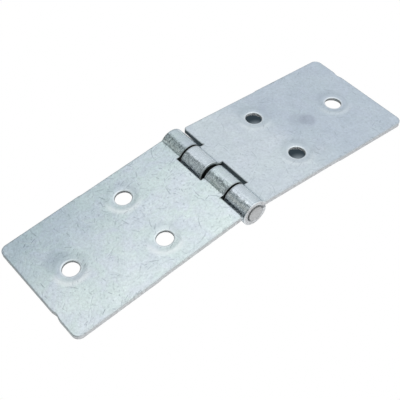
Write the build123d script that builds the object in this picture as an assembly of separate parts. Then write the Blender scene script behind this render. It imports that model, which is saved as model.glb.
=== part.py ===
from build123d import *
from math import asin, atan2, cos, degrees, hypot, radians, sin, sqrt
import os

# Flat hinge: two equal leaves of rolled zinc-plated sheet on one wire pin.
# All lengths are in millimetres. The pin axis runs along Y, the leaves reach out along
# -X and +X, and Z is up. The hinge lies as it would on a table: both leaf ends and the
# underside of the barrel touch Z = 0, and the pin axis is over the origin.

# Driving dimensions: the sheet and the leaf blank
sheet = 1.5                  # thickness of the sheet
leaf_width = 37.0            # width of a leaf, along the pin
leaf_reach = 59.75           # from the pin axis to the leaf's outer end
corner_radius = 2.2          # outer corners of a leaf
inner_corner_radius = 1.0    # corner beside the open notch at the barrel
leaf_top = 2.5               # leaf's upper face above the pin axis

# Driving dimensions: the barrel and its pin
pin_diameter = 5.0
pin_clearance = 0.05         # radial running clearance of the pin
pin_proud = 0.3              # how far each pin end stands out of the barrel
pin_chamfer = 0.15           # rounded-off edge of the pin ends
outer_gap = 0.5              # between an outer knuckle and its neighbour
middle_gap = 1.6             # between the two inner knuckles
bend_radius = 0.8            # hollow bend between the leaf's upper face and the barrel
seam_slit = 0.6              # between the curl's end and the leaf's underside
seat_clearance = 0.1         # the flat underside starts this far outside the barrel
notch_clearance = 0.4        # between a notch's edge and the other leaf's knuckle
mouth_chamfer = 0.2          # rolled-over edge at each knuckle's bore
rim_chamfer = 0.2            # rolled-over outer edge at each knuckle's ends

# Driving dimensions: the screw holes, pressed down for countersunk screws
hole_diameter = 5.0
near_hole_reach = 24.2       # pin axis to the pair of holes
near_hole_offset = 9.4       # each hole of the pair from the leaf's middle
far_hole_reach = 48.6        # pin axis to the single hole
dish_diameter = 9.2          # pressed hollow round each hole
dish_depth = 0.35            # how deep the hollow is at the hole's edge
break_width = 0.2            # the punch tore the hole wider by this at the underside
break_height = 0.4           # height of that torn part

# Driving dimensions: witness marks that the press tool left on the blank's edges
edge_step = 0.15             # the outer part of each long edge stands out by this
edge_step_reach = 32.2       # pin axis to that step
edge_step_run = 1.2          # length of the step's slope
nick_offset = 8.9            # shallow nick in the end edge, from the leaf's middle
nick_depth = 0.4
nick_width = 3.2

# Sizes that follow from those above
half_width = leaf_width / 2
pin_radius = pin_diameter / 2
bore_radius = pin_radius + pin_clearance
barrel_radius = bore_radius + sheet
leaf_under = leaf_top - sheet
notch_reach = barrel_radius + notch_clearance
knuckle_length = (leaf_width - middle_gap - 2 * outer_gap) / 4
inner_knuckle_start = middle_gap / 2
bend_centre_x = sqrt((barrel_radius + bend_radius) ** 2 - (leaf_top + bend_radius) ** 2)
bend_centre_z = leaf_top + bend_radius
under_bend_x = barrel_radius + seat_clearance
under_bend_radius = (under_bend_x ** 2 + leaf_under ** 2 - bore_radius ** 2) / (2 * (bore_radius - leaf_under))
under_bend_z = leaf_under + under_bend_radius
lap = 2.0                    # how far each knuckle's strip runs into the flat of the leaf

# A leaf droops until its end rests on the table beside the barrel
droop = degrees(asin(barrel_radius / hypot(leaf_reach, leaf_under)) + atan2(leaf_under, leaf_reach))


def on_circle(radius, angle):
    """Point of the knuckle's section at an angle from the leaf's side, counted over the top."""
    return (radius * cos(radians(angle)), radius * sin(radians(angle)))


def knuckle_section():
    """Section of a rolled knuckle: leaf, hollow bend, and the curl round the pin back to a slit."""
    bend_angle = degrees(atan2(bend_centre_z, bend_centre_x))
    under_angle = degrees(atan2(under_bend_z, under_bend_x))
    curl_end = 360 + degrees(asin((leaf_under - seam_slit) / barrel_radius))
    outer_middle = (bend_angle + curl_end) / 2
    bore_middle = (under_angle + curl_end) / 2
    strip_end = notch_reach + lap

    def on_bend(centre_x, centre_z, radius, barrel_side_angle):
        x, z = on_circle(radius, (barrel_side_angle + 180 + 270) / 2)
        return (centre_x + x, centre_z + z)

    with BuildSketch(Plane.XZ) as section:
        with BuildLine():
            Polyline((under_bend_x, leaf_under), (strip_end, leaf_under),
                     (strip_end, leaf_top), (bend_centre_x, leaf_top))
            ThreePointArc((bend_centre_x, leaf_top),
                          on_bend(bend_centre_x, bend_centre_z, bend_radius, bend_angle),
                          on_circle(barrel_radius, bend_angle))
            ThreePointArc(on_circle(barrel_radius, bend_angle), on_circle(barrel_radius, outer_middle),
                          on_circle(barrel_radius, curl_end))
            Line(on_circle(barrel_radius, curl_end), on_circle(bore_radius, curl_end))
            ThreePointArc(on_circle(bore_radius, curl_end), on_circle(bore_radius, bore_middle),
                          on_circle(bore_radius, under_angle))
            ThreePointArc(on_circle(bore_radius, under_angle),
                          on_bend(under_bend_x, under_bend_z, under_bend_radius, under_angle),
                          (under_bend_x, leaf_under))
        make_face()
    return section.sketch


def knuckle(low_y):
    """One knuckle with its strip of leaf, from low_y along the pin, its round edges rolled over."""
    strip = extrude(Pos(0, low_y, 0) * knuckle_section(), amount=knuckle_length, dir=(0, 1, 0))
    round_edges = strip.edges().filter_by(GeomType.CIRCLE)
    mouths = round_edges.filter_by(lambda edge: abs(edge.radius - bore_radius) < 0.01)
    strip = chamfer(mouths, mouth_chamfer)
    round_edges = strip.edges().filter_by(GeomType.CIRCLE)
    rims = round_edges.filter_by(lambda edge: abs(edge.radius - barrel_radius) < 0.01)
    return chamfer(rims, rim_chamfer)


def blank_outline():
    """Flat outline of the leaf outside the barrel, with its tool marks, drawn in the XY plane."""
    wide = half_width + edge_step
    step_end = edge_step_reach + edge_step_run
    with BuildSketch() as outline:
        with BuildLine():
            Polyline((notch_reach, -half_width), (edge_step_reach, -half_width), (step_end, -wide),
                     (leaf_reach, -wide))
            Line((leaf_reach, -wide), (leaf_reach, nick_offset - nick_width / 2))
            ThreePointArc((leaf_reach, nick_offset - nick_width / 2),
                          (leaf_reach - nick_depth, nick_offset),
                          (leaf_reach, nick_offset + nick_width / 2))
            Line((leaf_reach, nick_offset + nick_width / 2), (leaf_reach, wide))
            Polyline((leaf_reach, wide), (step_end, wide), (edge_step_reach, half_width),
                     (notch_reach, half_width), (notch_reach, -half_width))
        make_face()
        end_corners = outline.vertices().filter_by(
            lambda point: abs(point.X - leaf_reach) < 0.01 and abs(abs(point.Y) - wide) < 0.01)
        fillet(end_corners, corner_radius)
        open_corner = outline.vertices().filter_by(
            lambda point: abs(point.X - notch_reach) < 0.01 and abs(point.Y - half_width) < 0.01)
        fillet(open_corner, inner_corner_radius)
    return outline.sketch


def screw_hole():
    """Tool for one screw hole: the hollow in the upper face, the straight wall and the torn lower part."""
    outer_radius = dish_diameter / 2
    inner_radius = hole_diameter / 2
    span = outer_radius - inner_radius
    arc_radius = (span ** 2 + dish_depth ** 2) / (2 * dish_depth)
    half_turn = asin(span / arc_radius) / 2
    middle = (outer_radius - arc_radius * sin(half_turn), leaf_top - arc_radius * (1 - cos(half_turn)))
    below = leaf_under - sheet
    above = leaf_top + sheet
    with BuildSketch(Plane.XZ) as profile:
        with BuildLine():
            ThreePointArc((outer_radius, leaf_top), middle, (inner_radius, leaf_top - dish_depth))
            Polyline((inner_radius, leaf_top - dish_depth), (inner_radius, leaf_under + break_height),
                     (inner_radius + break_width, leaf_under), (inner_radius + break_width, below),
                     (0, below), (0, above), (outer_radius, above), (outer_radius, leaf_top))
        make_face()
    return revolve(profile.sketch, Axis.Z)


def leaf():
    """One leaf reaching out along +X from the pin axis at the origin, its upper face up."""
    plate = extrude(Pos(0, 0, leaf_under) * blank_outline(), amount=sheet)
    body = plate + knuckle(-half_width) + knuckle(inner_knuckle_start)
    hole = screw_hole()
    for x, y in ((near_hole_reach, near_hole_offset), (near_hole_reach, -near_hole_offset),
                 (far_hole_reach, 0)):
        body = body - Pos(x, y, 0) * hole
    return body


def pin():
    """The wire pin along Y with its two ends dressed round."""
    length = leaf_width + 2 * pin_proud
    wire = Rot(90, 0, 0) * Cylinder(pin_radius, length)
    return chamfer(wire.edges().filter_by(GeomType.CIRCLE), pin_chamfer)


lift = Pos(0, 0, barrel_radius)
right_leaf = lift * Rot(0, droop, 0) * leaf()
left_leaf = lift * Rot(0, -droop, 0) * Rot(0, 0, 180) * leaf()
hinge_pin = lift * pin()

os.makedirs("parts", exist_ok=True)
for name, piece in {"left_leaf": left_leaf, "right_leaf": right_leaf, "hinge_pin": hinge_pin}.items():
    export_step(piece, f"parts/{name}.step")
    print(name, piece.volume, piece.bounding_box())
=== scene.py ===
import logging
import math
from dataclasses import dataclass, field
from enum import Enum
from functools import partial, reduce

import bpy
import numpy as np
from mathutils import Matrix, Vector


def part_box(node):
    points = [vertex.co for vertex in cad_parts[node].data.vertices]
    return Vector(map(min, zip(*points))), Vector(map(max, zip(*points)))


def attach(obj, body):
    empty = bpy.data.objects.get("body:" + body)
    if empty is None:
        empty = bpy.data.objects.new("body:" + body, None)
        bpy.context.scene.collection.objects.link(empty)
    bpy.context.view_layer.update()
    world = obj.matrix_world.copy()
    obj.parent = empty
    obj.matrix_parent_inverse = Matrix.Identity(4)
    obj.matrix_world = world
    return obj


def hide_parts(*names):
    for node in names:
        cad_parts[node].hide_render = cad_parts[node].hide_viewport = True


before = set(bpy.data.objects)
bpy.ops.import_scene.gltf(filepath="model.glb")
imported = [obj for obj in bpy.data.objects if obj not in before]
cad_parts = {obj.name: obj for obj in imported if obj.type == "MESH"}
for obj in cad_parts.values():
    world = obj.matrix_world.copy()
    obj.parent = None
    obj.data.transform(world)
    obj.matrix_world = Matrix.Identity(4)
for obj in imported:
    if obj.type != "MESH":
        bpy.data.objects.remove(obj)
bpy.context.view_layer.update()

MM = 0.001                       # the meshes are worked out in millimetres and stored in metres
HALF_WIDTH = 18.5                # of the barrel, as the finishes read it
LEAF_REACH = 59.75               # from the pin axis to a leaf's end

Colour = tuple[float, float, float]

log = logging.getLogger("flat_hinge")


class Side(Enum):
    """The two leaves; the value is the direction along X in which each one reaches out."""

    LEFT = -1
    RIGHT = 1

    @property
    def node(self) -> str:
        """Name of the CAD node that this leaf's surface stands for."""
        return f"{self.name.lower()}_leaf"

    @property
    def body(self) -> str:
        """Name of the CAD body that this leaf rides on."""
        return f"{self.name.lower()}_side"


def smooth_step(x: np.ndarray) -> np.ndarray:
    """Rise from 0 to 1 with level ends: 3 x squared less 2 x cubed, held outside 0 to 1."""
    x = np.clip(x, 0.0, 1.0)
    return x * x * (3.0 - 2.0 * x)


def runs(*stops: float | int) -> np.ndarray:
    """Grid lines in even runs.

    Args:
        stops: a first value, then pairs of a number of steps and the value they lead to.

    Returns:
        All the lines in order, each stop once.
    """
    lines = [np.array([float(stops[0])])]
    for steps, end in zip(stops[1::2], stops[2::2]):
        lines.append(np.linspace(lines[-1][-1], end, int(steps) + 1)[1:])
    return np.concatenate(lines)


@dataclass
class Surface:
    """A mesh in the making: points in millimetres, faces, and named values at the points.

    Points that stand over one another at a sharp corner of the outline share a number of 0 or
    more in corners, and the edges between them stay sharp.
    """

    points: np.ndarray
    quads: np.ndarray
    triangles: np.ndarray = field(default_factory=lambda: np.zeros((0, 3), int))
    values: dict[str, np.ndarray] = field(default_factory=dict)
    corners: np.ndarray | None = None

    def to_object(self, name: str) -> bpy.types.Object:
        """Make the Blender object, smooth shaded, with the values as point attributes.

        Args:
            name: name of the object and its mesh.

        Returns:
            The object, linked to the scene, with its place in its mesh.
        """
        mesh = bpy.data.meshes.new(name)
        faces = self.quads.tolist() + self.triangles.tolist()
        mesh.from_pydata((self.points * MM).tolist(), [], faces)
        for label, value in self.values.items():
            kind, entry = ("FLOAT_VECTOR", "vector") if value.ndim == 2 else ("FLOAT", "value")
            layer = mesh.attributes.new(label, kind, "POINT")
            layer.data.foreach_set(entry, value.astype(np.float32).ravel())
        mesh.polygons.foreach_set("use_smooth", np.ones(len(faces), bool))
        if self.corners is not None:
            ends = np.empty(2 * len(mesh.edges), np.int32)
            mesh.edges.foreach_get("vertices", ends)
            first, second = self.corners[ends.reshape(-1, 2)].T
            mesh.edges.foreach_set("use_edge_sharp", (first >= 0) & (first == second))
        mesh.validate()
        mesh.update()
        piece = bpy.data.objects.new(name, mesh)
        bpy.context.scene.collection.objects.link(piece)
        return piece


@dataclass(frozen=True)
class RolledSection:
    """Section of a leaf: the flat sheet, the bend, and the curl round the pin, in millimetres.

    The pin axis is at (0, 0), x runs out along the leaf and z up. A developed length s runs
    along the sheet, equal to x on the flat, and w is the height in the sheet's thickness.
    """

    pin_radius: float
    clearance: float = 0.05
    sheet: float = 1.5
    leaf_top: float = 2.5
    bend_radius: float = 0.8
    seat_clearance: float = 0.1
    seam_slit: float = 0.6
    samples: int = 600

    @property
    def bore_radius(self) -> float:
        """Radius of the hole that the curl leaves for the pin."""
        return self.pin_radius + self.clearance

    @property
    def barrel_radius(self) -> float:
        """Outer radius of the curl."""
        return self.bore_radius + self.sheet

    @property
    def leaf_under(self) -> float:
        """Height of the leaf's underside above the pin axis."""
        return self.leaf_top - self.sheet

    @property
    def flat_start(self) -> float:
        """Distance from the pin axis at which the underside becomes flat."""
        return self.barrel_radius + self.seat_clearance

    @property
    def curl_end(self) -> float:
        """Angle at which the curl ends, from the leaf's side over the top, in radians."""
        return 2 * math.pi + math.asin((self.leaf_under - self.seam_slit) / self.barrel_radius)

    def _arcs(self) -> tuple[np.ndarray, np.ndarray, float]:
        """Points of the bend's upper and lower path at equal shares of their lengths.

        The lower path is one arc that touches the underside and the bore. The upper path is a
        short flat, the hollow arc that touches the upper face and the barrel, and the piece of
        barrel up to the angle at which the lower arc meets the bore.

        Returns:
            The upper points, the lower points and that angle in radians.
        """
        under_radius = ((self.flat_start ** 2 + self.leaf_under ** 2 - self.bore_radius ** 2)
                        / (2 * (self.bore_radius - self.leaf_under)))
        under_z = self.leaf_under + under_radius
        meet = math.atan2(under_z, self.flat_start)
        turn = np.linspace(1.5 * math.pi, meet + math.pi, self.samples)
        lower = np.stack([self.flat_start + under_radius * np.cos(turn),
                          under_z + under_radius * np.sin(turn)], 1)
        bend_z = self.leaf_top + self.bend_radius
        bend_x = math.sqrt((self.barrel_radius + self.bend_radius) ** 2 - bend_z ** 2)
        touch = math.atan2(bend_z, bend_x)
        turn = np.linspace(1.5 * math.pi, touch + math.pi, self.samples)
        hollow = np.stack([bend_x + self.bend_radius * np.cos(turn),
                           bend_z + self.bend_radius * np.sin(turn)], 1)
        turn = np.linspace(touch, meet, self.samples)[1:]
        on_barrel = self.barrel_radius * np.stack([np.cos(turn), np.sin(turn)], 1)
        upper = np.concatenate([[[self.flat_start, self.leaf_top]], hollow, on_barrel])
        return upper, lower, meet

    def _even(self, path: np.ndarray) -> np.ndarray:
        """Resample a path to equal shares of its length.

        Args:
            path: points of the path.

        Returns:
            As many points as samples.
        """
        step = np.hypot(*np.diff(path, axis=0).T)
        length = np.concatenate([[0], np.cumsum(step)])
        share = np.linspace(0, length[-1], self.samples)
        return np.stack([np.interp(share, length, path[:, k]) for k in (0, 1)], 1)

    @property
    def bend_length(self) -> float:
        """Developed length of the bend: the mean of its upper and lower paths."""
        upper, lower, _ = self._arcs()
        return sum(np.hypot(*np.diff(path, axis=0).T).sum() for path in (upper, lower)) / 2

    @property
    def curl_start_s(self) -> float:
        """Developed length at which the bend has become the curl."""
        return self.flat_start - self.bend_length

    @property
    def end_s(self) -> float:
        """Developed length of the curl's end: the arc of the sheet's middle, less the bend."""
        _, _, meet = self._arcs()
        return self.curl_start_s - (self.curl_end - meet) * (self.bore_radius + self.sheet / 2)

    def place(self, s: np.ndarray, w: np.ndarray) -> tuple[np.ndarray, np.ndarray]:
        """Roll up the developed sheet.

        A point is found on the upper and on the lower path at s, and lies between them at the
        share w / thickness. On the curl both paths are circles at one angle.

        Args:
            s: developed lengths.
            w: heights in the sheet, 0 on the underside and bore, the thickness outside.

        Returns:
            x and z of the points.
        """
        upper, lower, meet = self._arcs()
        upper, lower = self._even(upper), self._even(lower)
        share = (self.flat_start - s) / self.bend_length
        at = np.linspace(0, 1, self.samples)
        angle = meet + np.clip(self.curl_start_s - s, 0, None) / (self.bore_radius + self.sheet / 2)
        ends = []
        for path, radius, height in ((lower, self.bore_radius, self.leaf_under),
                                     (upper, self.barrel_radius, self.leaf_top)):
            x = np.where(share < 0, s, np.interp(share, at, path[:, 0]))
            z = np.where(share < 0, height, np.interp(share, at, path[:, 1]))
            x = np.where(share > 1, radius * np.cos(angle), x)
            z = np.where(share > 1, radius * np.sin(angle), z)
            ends.append((x, z))
        mix = w / self.sheet
        return tuple(low * (1 - mix) + high * mix for low, high in zip(*ends))


@dataclass(frozen=True)
class Blank:
    """The flat blank that a leaf is rolled from, as a grid in developed length s and width y.

    All sizes are in millimetres. The grid stops short of every edge by the inset, and the edge
    profile fills the rest.
    """

    section: RolledSection
    half_width: float
    reach: float = LEAF_REACH
    corner_radius: float = 2.2
    inner_corner_radius: float = 1.0
    notch_reach: float = 4.45
    knuckle_length: float = 8.6
    inner_knuckle_start: float = 0.8
    edge_step: float = 0.15
    edge_step_reach: float = 32.2
    edge_step_run: float = 1.2
    nick_offset: float = 8.9
    nick_depth: float = 0.4
    nick_width: float = 3.2
    near_hole_reach: float = 24.2
    near_hole_offset: float = 9.4
    far_hole_reach: float = 48.6
    hole_radius: float = 2.5
    dish_radius: float = 4.6
    dish_depth: float = 0.2      # at the hole's edge
    ring_radius: float = 2.9     # where the dish becomes a nearly level ring
    ring_depth: float = 0.10
    lip_radius: float = 2.8      # where that ring starts to roll over into the hole
    inset: float = 0.45
    tile: float = 6.0            # half side of the square of grid that each near hole takes
    far_tile: float = 6.4        # the same for the far hole

    @property
    def holes(self) -> tuple[tuple[float, float], ...]:
        """Centres of the three screw holes."""
        return ((self.near_hole_reach, -self.near_hole_offset),
                (self.near_hole_reach, self.near_hole_offset), (self.far_hole_reach, 0.0))

    def from_hole(self, s: np.ndarray, y: np.ndarray) -> np.ndarray:
        """Distances of the points (s, y) from their nearest hole's centre."""
        return np.min([np.hypot(s - cs, y - cy) for cs, cy in self.holes], axis=0)

    def dish(self, s: np.ndarray, y: np.ndarray) -> np.ndarray:
        """Pressed hollow round the holes.

        Its depth falls in a long soft step from the rim to a nearly level ring round the hole,
        which is rolled over at the hole's own edge by the square of the distance inside it.

        Args:
            s: developed lengths.
            y: places across the width.

        Returns:
            The depth below the upper face.
        """
        nearest = self.from_hole(s, y)
        fall = smooth_step((self.dish_radius - nearest) / (self.dish_radius - self.ring_radius))
        rolled = np.clip((self.lip_radius - nearest) / (self.lip_radius - self.hole_radius), 0, 1)
        return self.ring_depth * fall + (self.dish_depth - self.ring_depth) * rolled ** 2

    def beside_hole(self, s: np.ndarray, y: np.ndarray) -> np.ndarray:
        """Vectors to the points (s, y) from their nearest hole's centre, with a third part of 0.

        Args:
            s: developed lengths.
            y: places across the width.

        Returns:
            The vectors, in rows.
        """
        offsets = np.stack([s, y], 1)[:, None] - np.array(self.holes)
        nearest = (offsets ** 2).sum(2).argmin(1)
        return np.column_stack([offsets[np.arange(len(s)), nearest], np.zeros(len(s))])

    def _across(self) -> tuple[np.ndarray, np.ndarray, tuple[int, int, int]]:
        """Lines across the width by the holes and by the knuckles, the same number of each.

        Returns:
            The lines by the holes, the lines by the knuckles, and the indexes of the outer
            knuckle's inner side and of the inner knuckle's two sides.
        """
        edge, corner = self.half_width - self.inset, self.half_width - self.corner_radius
        far, near = self.near_hole_offset + self.tile, self.near_hole_offset - self.tile
        by_holes = runs(-edge, 8, -corner, 2, -far, 16, -near, 9, near, 16, far, 2, corner, 8, edge)
        outer_end = -self.half_width + self.knuckle_length - self.inset
        inner = (self.inner_knuckle_start + self.inset,
                 self.inner_knuckle_start + self.knuckle_length - self.inset)
        open_corner = self.half_width - self.inner_corner_radius
        outer_steps, middle_steps, inner_steps = 17, 15, 10
        by_knuckles = runs(-edge, outer_steps, outer_end, middle_steps, inner[0], inner_steps, inner[1],
                           15, open_corner, 4, edge)
        low = outer_steps + middle_steps
        return by_holes, by_knuckles, (outer_steps, low, low + inner_steps)

    def _along(self) -> tuple[np.ndarray, int]:
        """Lines along the developed length, and the index of the line at the notches.

        Returns:
            The lines and that index.
        """
        tip = self.reach - self.inset
        notch = self.notch_reach + self.inset
        wide_tile = self.far_hole_reach - self.far_tile, self.far_hole_reach + self.far_tile
        near = self.near_hole_reach - self.tile, self.near_hole_reach + self.tile
        curl_start, end = self.section.curl_start_s, self.section.end_s + self.inset
        curl_steps, bend_steps = 64, 26
        lines = runs(end, curl_steps, curl_start, bend_steps, notch,
                     4, self.notch_reach + self.inner_corner_radius, 16, near[0], 16, near[1],
                     16, wide_tile[0], 17, wide_tile[1], 3, self.reach - self.corner_radius, 8, tip)
        return lines, curl_steps + bend_steps

    @staticmethod
    def _round(u: np.ndarray, v: np.ndarray) -> tuple[np.ndarray, np.ndarray]:
        """Map the unit square onto a quarter disc: each share is cut by the root of one less
        half the square of the other, which leaves the two inner sides where they are."""
        u, v = np.clip(u, 0, 1), np.clip(v, 0, 1)
        return u * np.sqrt(1 - v ** 2 / 2), v * np.sqrt(1 - u ** 2 / 2)

    def _shape(self, s: np.ndarray, y: np.ndarray) -> tuple[np.ndarray, np.ndarray]:
        """Bend the straight grid to the blank's outline: corners, edge step and nick.

        Each corner's square is mapped onto a quarter disc. The long edges step out in a soft step,
        and the nick is the squared cosine of the distance across from its middle.

        Args:
            s: developed lengths of the grid.
            y: places across the width.

        Returns:
            The same after bending.
        """
        for radius, sign_s, start, sides in (
                (self.corner_radius, 1.0, self.reach, (-1, 1)),
                (self.inner_corner_radius, -1.0, self.notch_reach, (1,))):
            size = radius - self.inset
            for side in sides:
                u = (sign_s * (s - start) + radius) / size
                v = (side * y - self.half_width + radius) / size
                on_leaf = s > self.notch_reach + self.inset - 1e-6
                inside = (u > 0) & (v > 0) & on_leaf
                round_u, round_v = self._round(u, v)
                s = np.where(inside, start + sign_s * (round_u * size - radius), s)
                y = np.where(inside, side * (round_v * size + self.half_width - radius), y)
        step = smooth_step((s - self.edge_step_reach) / self.edge_step_run)
        edge_from, edge_run = 0.6 * self.half_width, 0.35 * self.half_width
        near_edge = smooth_step((np.abs(y) - edge_from) / edge_run)
        y = y + np.sign(y) * self.edge_step * step * near_edge
        nick_half, tip_from, tip_run = 0.62 * self.nick_width, 4.0, 3.5
        across = np.clip(np.abs(y - self.nick_offset) / nick_half, 0, 1)
        near_tip = smooth_step((s - self.reach + tip_from) / tip_run)
        s = s - self.nick_depth * np.cos(across * math.pi / 2) ** 2 * near_tip
        return s, y

    def grid(self) -> tuple[np.ndarray, np.ndarray]:
        """Work out the flat grid of the blank with its holes.

        Returns:
            Points (s, y) and faces, all turning the same way round, counter-clockwise.
        """
        by_holes, by_knuckles, sides = self._across()
        along, notch = self._along()
        blend_from = 8.0
        blend_run = self.near_hole_reach - self.tile - blend_from
        blend = smooth_step((along - blend_from) / blend_run)[:, None]
        s = np.repeat(along[:, None], len(by_holes), 1)
        y = by_knuckles * (1 - blend) + by_holes * blend
        s, y = self._shape(s, y)
        index = np.arange(s.size).reshape(s.shape)
        keep = np.ones((s.shape[0] - 1, s.shape[1] - 1), bool)
        keep[:notch] = False
        keep[:notch, :sides[0]] = True
        keep[:notch, sides[1]:sides[2]] = True
        points = [np.stack([s.ravel(), y.ravel()], 1)]
        faces = []
        total = s.size
        for centre in self.holes:
            reach = self.far_tile if centre[1] == 0 else self.tile
            rows = [int(np.argmin(np.abs(along - centre[0] - k * reach))) for k in (-1, 1)]
            columns = [int(np.argmin(np.abs(by_holes - centre[1] - k * reach))) for k in (-1, 1)]
            keep[rows[0]:rows[1], columns[0]:columns[1]] = False
            ring_points, ring_faces = self._ring(centre, index, rows, columns, points[0], total)
            points.append(ring_points)
            faces.append(ring_faces)
            total += len(ring_points)
        cells = np.stack([index[:-1, :-1], index[1:, :-1], index[1:, 1:], index[:-1, 1:]], -1)
        faces.insert(0, cells[keep])
        all_faces = np.concatenate(faces)
        used, packed = np.unique(all_faces, return_inverse=True)
        return np.concatenate(points)[used], packed.reshape(all_faces.shape)

    def _ring(self, centre: tuple[float, float], index: np.ndarray, rows: list[int],
              columns: list[int], flat: np.ndarray, first: int) -> tuple[np.ndarray, np.ndarray]:
        """Rings of grid from the square hole in the grid to the screw hole.

        Point k of a ring stands at an even angle from the square's first corner. The outer rings
        go from the square to a circle by even shares, the inner ones are circles.

        Args:
            centre: centre of the hole.
            index: indexes of the grid's points.
            rows: first and last grid line of the square along s.
            columns: first and last grid line of the square across y.
            flat: the grid's points.
            first: index that the first new point gets.

        Returns:
            The new points and the faces between the rings.
        """
        (r0, r1), (c0, c1) = rows, columns
        border = np.concatenate([index[r0:r1, c0], index[r1, c0:c1],
                                 index[r1:r0:-1, c1], index[r0, c1:c0:-1]])
        count = len(border)
        angle = -0.75 * math.pi + 2 * math.pi * np.arange(count) / count
        circle = np.stack([np.cos(angle), np.sin(angle)], 1)
        outer = self.dish_radius + 0.5
        radii = runs(outer, 1, self.dish_radius + 0.2, 10, 3.3, 5, self.hole_radius + self.inset)
        shares = np.array([0.3, 0.62])[:, None, None]
        square = flat[border]
        spread = square * (1 - shares) + (np.array(centre) + circle * outer) * shares
        rings = np.array(centre) + circle * radii[:, None, None]
        new = np.concatenate([spread, rings])
        added = first + np.arange(new.shape[0] * count).reshape(-1, count)
        table = np.concatenate([border[None], added])
        turned = np.roll(table, -1, axis=1)
        quads = np.stack([table[:-1], turned[:-1], turned[1:], table[1:]], -1)
        return new.reshape(-1, 2), quads.reshape(-1, 4)


@dataclass(frozen=True)
class EdgeProfile:
    """Profile of a punched edge, carried along the blank's outline and its holes, in millimetres."""

    roll_width: float = 0.26     # the upper corner is drawn down over this width
    roll_drop: float = 0.2
    under_round: float = 0.06    # the lower corner of a plain edge
    hole_roll: float = 0.35      # share of the roll at the holes, whose edge is sharper
    knuckle_sharpness: float = 0.5   # share of the roll that the knuckles' ends lack
    torn_width: float = 0.4      # the punch tore a hole wider by this at the underside
    torn_height: float = 0.8     # height of that torn part
    mouth_round: float = 0.2     # the same corner at the knuckles' bores
    support: float = 0.08

    def rows(self, inset: float) -> list[tuple[float, str, float, float, float]]:
        """The profile from the upper face down to the lower one.

        Args:
            inset: distance from the grid's border to the true edge.

        Returns:
            For each row how far it lies out from the true edge in millimetres, the level its
            height is measured from, its offset from there, and its edge and shear values.
        """
        rows = [(-inset, "top", 0.0, 0.0, 0.0), (-self.roll_width - 0.04, "top", 0.0, 0.35, 0.0)]
        for turn in np.radians([18, 36, 54, 72, 90]):
            rows.append((self.roll_width * (math.sin(turn) - 1), "top",
                         -self.roll_drop * (1 - math.cos(turn)), 1.0, 0.4 * math.sin(turn) ** 4))
        rows += [(0.0, "top", -self.roll_drop - self.support, 0.6, 1.0),
                 (0.0, "mid", 0.0, 0.0, 1.0), (0.0, "low", 1.35, 0.5, 1.0)]
        for turn in np.radians([0, 30, 60, 90]):
            rows.append((math.cos(turn) - 1, "round", 1 - math.sin(turn), 0.8, 1.0 - math.sin(turn)))
        rows += [(-1.3, "round", 0.0, 0.3, 0.0), (-inset, "floor", 0.0, 0.0, 0.0)]
        return rows


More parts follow.
